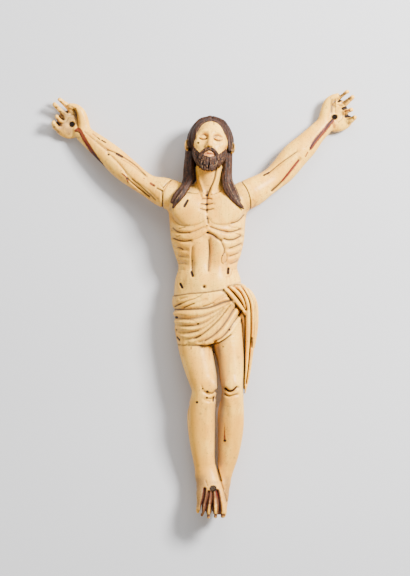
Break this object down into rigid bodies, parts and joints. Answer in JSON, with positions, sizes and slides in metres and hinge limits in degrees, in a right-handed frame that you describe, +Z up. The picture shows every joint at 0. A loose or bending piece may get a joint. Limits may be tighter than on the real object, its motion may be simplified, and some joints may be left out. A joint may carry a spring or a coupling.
{
  "type": "crucifix corpus figure",
  "caption": "Carved ivory figure of a crucified man with outstretched arms and a knotted loincloth, pierced at palms and feet for nailing to a cross.",
  "frame": {"origin": "on the surface that the figure lies on, under the middle of its overall length and width, which is beside the navel", "axes": "+Y from the feet towards the head, +X from the figure's right hand towards its left hand, +Z up out of the chest as the figure lies on its back"},
  "size_m": [0.3062, 0.4298, 0.0638],
  "materials": {
    "body_ivory": "aged ivory, satin, with brown stain in the carved lines and painted hair",
    "right_arm_ivory": "aged ivory, satin, with painted blood",
    "left_arm_ivory": "aged ivory, satin, with painted blood"
  },
  "bodies": {
    "root": {"body": "body_ivory", "right_arm": "right_arm_ivory", "left_arm": "left_arm_ivory"}
  },
  "joints": []
}
